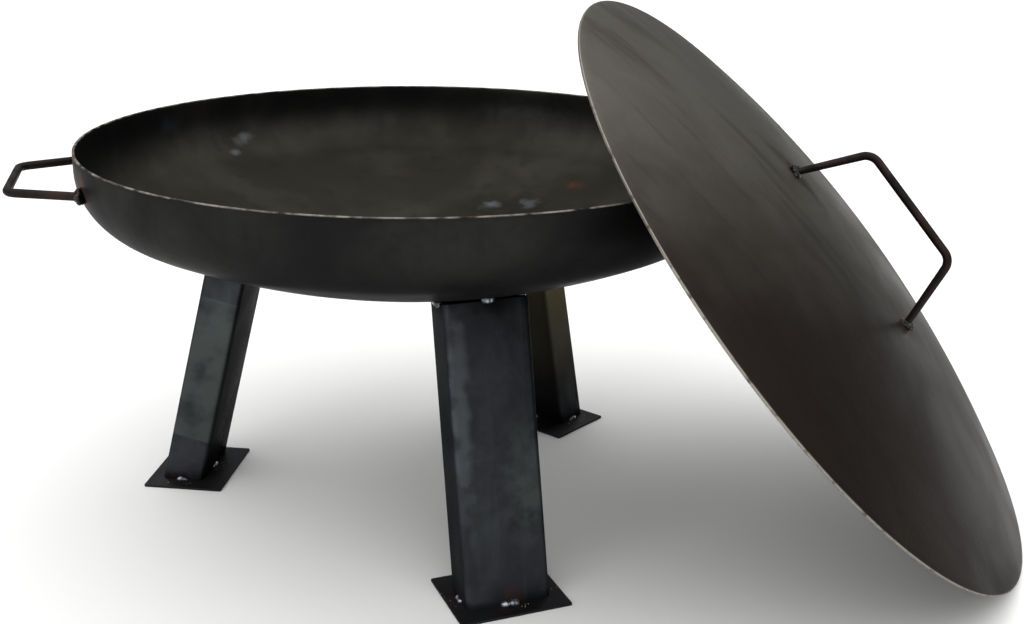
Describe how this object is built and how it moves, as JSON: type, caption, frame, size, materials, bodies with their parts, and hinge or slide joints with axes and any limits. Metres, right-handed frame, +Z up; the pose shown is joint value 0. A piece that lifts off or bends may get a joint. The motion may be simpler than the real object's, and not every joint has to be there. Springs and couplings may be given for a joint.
{
  "type": "fire bowl",
  "caption": "Round steel fire bowl on splayed box-section legs with foot plates and bar handles, and a domed lift-off lid with a bar handle leaning against its rim.",
  "frame": {"origin": "on the floor, at the middle of the whole object's length and width, lid included", "axes": "+Z up, +X along the object's length from the bowl's left handle towards the leaning lid"},
  "size_m": [1.2443, 0.8833, 0.6231],
  "materials": {
    "bowl_steel": "raw pressed mild steel with dark mill scale",
    "lid_steel": "raw pressed mild steel, dark and slightly brown, with a bare cut edge",
    "leg_steel": "hot-rolled box section with blue-grey mill scale",
    "plate_steel": "hot-rolled flat with black mill scale",
    "bar_steel": "hot-rolled round bar, dark brown-black",
    "weld_metal": "as-welded beads, grey and bright in places"
  },
  "bodies": {
    "fire_bowl": {"bowl": "bowl_steel", "leg_front": "leg_steel", "foot_plate_front": "plate_steel", "leg_welds_front": "weld_metal", "foot_welds_front": "weld_metal", "leg_left": "leg_steel", "foot_plate_left": "plate_steel", "leg_welds_left": "weld_metal", "foot_welds_left": "weld_metal", "leg_right": "leg_steel", "foot_plate_right": "plate_steel", "leg_welds_right": "weld_metal", "foot_welds_right": "weld_metal", "bowl_handle_left": "bar_steel", "bowl_handle_welds_left": "weld_metal", "bowl_handle_right": "bar_steel", "bowl_handle_welds_right": "weld_metal"},
    "lid": {"lid": "lid_steel", "lid_handle": "bar_steel", "lid_handle_welds": "weld_metal"}
  },
  "joints": [
    {"name": "lid_lift", "type": "slide", "parent": "fire_bowl", "child": "lid", "axis": [0, 0, 1], "range_m": [0, 0.5]}
  ]
}
